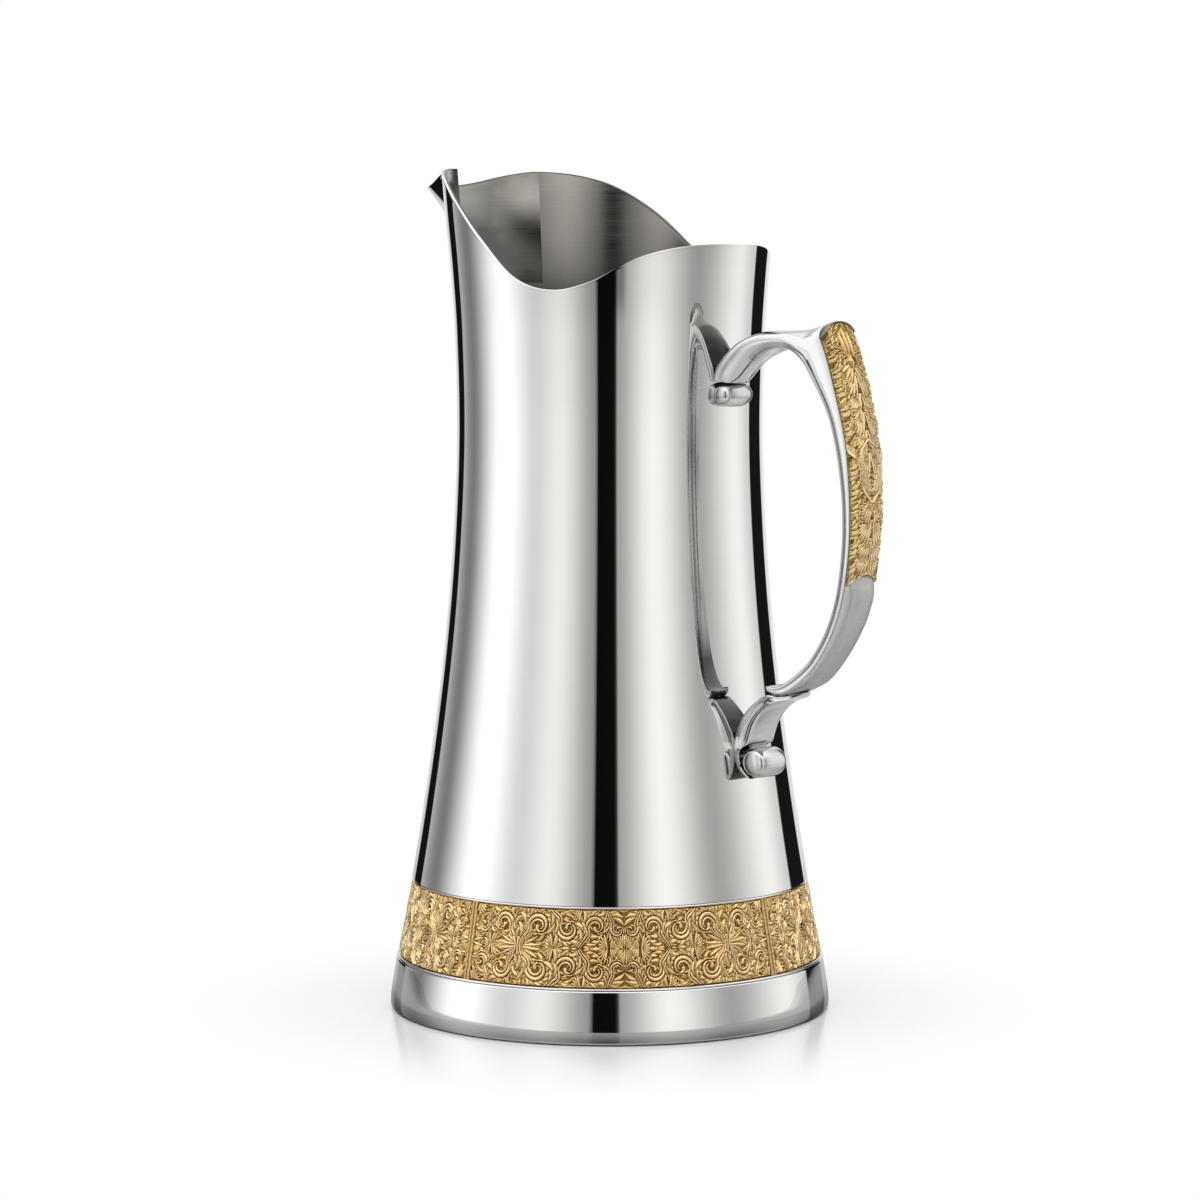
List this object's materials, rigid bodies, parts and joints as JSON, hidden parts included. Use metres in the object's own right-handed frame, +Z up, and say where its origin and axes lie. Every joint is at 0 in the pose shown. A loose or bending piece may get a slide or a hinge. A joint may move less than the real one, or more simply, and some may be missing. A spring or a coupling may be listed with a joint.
{
  "type": "serving jug",
  "caption": "Waisted polished steel serving jug with a folded pouring spout, scrolled loop handle, gilt relief band above the foot and gilt relief plaque on the grip.",
  "frame": {"origin": "centre of the base, on the plane the jug stands on", "axes": "+Z up along the axis of the body, +X towards the handle, -X towards the spout"},
  "size_m": [0.18, 0.1376, 0.2616],
  "materials": {
    "polished_steel": "mirror polished stainless steel, brushed round the inside",
    "satin_steel": "satin stainless steel",
    "gilt": "gilt casting, bright on the high points and darker in the recesses",
    "seal": "soft translucent white silicone"
  },
  "bodies": {
    "root": {"body_shell": "polished_steel", "spout_panel": "polished_steel", "bottom_plate": "satin_steel", "foot_ring": "polished_steel", "band_upper_ring": "polished_steel", "band_lower_ring": "polished_steel", "band_panel_1": "gilt", "band_panel_2": "gilt", "band_panel_3": "gilt", "band_panel_4": "gilt", "band_joint_strips": "gilt", "handle_arm": "polished_steel", "grip_plaque": "gilt", "plaque_pins": "satin_steel", "lower_bracket": "polished_steel", "bracket_dowel": "satin_steel", "upper_bead": "polished_steel", "lower_bead": "polished_steel", "handle_screws": "satin_steel", "seal_washers": "seal"}
  },
  "joints": []
}
